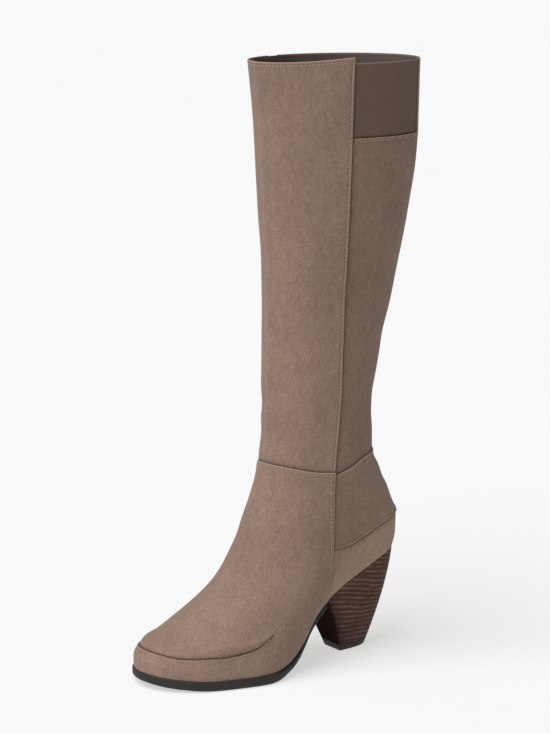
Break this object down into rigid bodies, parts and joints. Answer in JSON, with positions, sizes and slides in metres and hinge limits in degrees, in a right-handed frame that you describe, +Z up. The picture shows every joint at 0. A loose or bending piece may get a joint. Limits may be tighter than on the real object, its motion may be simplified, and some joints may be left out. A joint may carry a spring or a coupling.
{
  "type": "knee-high boot",
  "caption": "Knee-high heeled boot: hollow suede upper and shaft, elastic gore, full-length inside zip with hinged pull, stacked block heel.",
  "frame": {"origin": "middle of the bounding box's bottom face, on the floor", "axes": "+Z up, the toe points to -Y, the outer (lateral) side faces +X"},
  "size_m": [0.1162, 0.2434, 0.4756],
  "materials": {
    "suede": "matt taupe suede with a short soft nap",
    "elastic": "matt dark brown ribbed elastic",
    "lining": "dark grey-brown smooth lining",
    "thread": "fine tan sewing thread",
    "insole": "dark smooth sock lining",
    "outsole_rubber": "black satin",
    "stacked_leather": "dark brown stacked layers, satin",
    "tip_rubber": "black matt",
    "zip_tape": "dark brown woven tape",
    "zip_coil": "brown moulded coil",
    "gunmetal": "dark polished metal"
  },
  "bodies": {
    "boot": {"upper": "suede", "shaft": "suede", "gore": "elastic", "insole": "insole", "outsole": "outsole_rubber", "heel": "stacked_leather", "heel_tip": "tip_rubber", "zip_tape": "zip_tape", "zip_coil": "zip_coil", "zip_slider": "gunmetal"},
    "pull": {"zip_pull": "gunmetal"}
  },
  "joints": [
    {"name": "pull_swing", "type": "hinge", "parent": "boot", "child": "pull", "pos_m": [-0.05572, 0.03093, 0.462], "axis": [-0.2453, 0.9695, 0], "range_deg": [0, 160]}
  ]
}
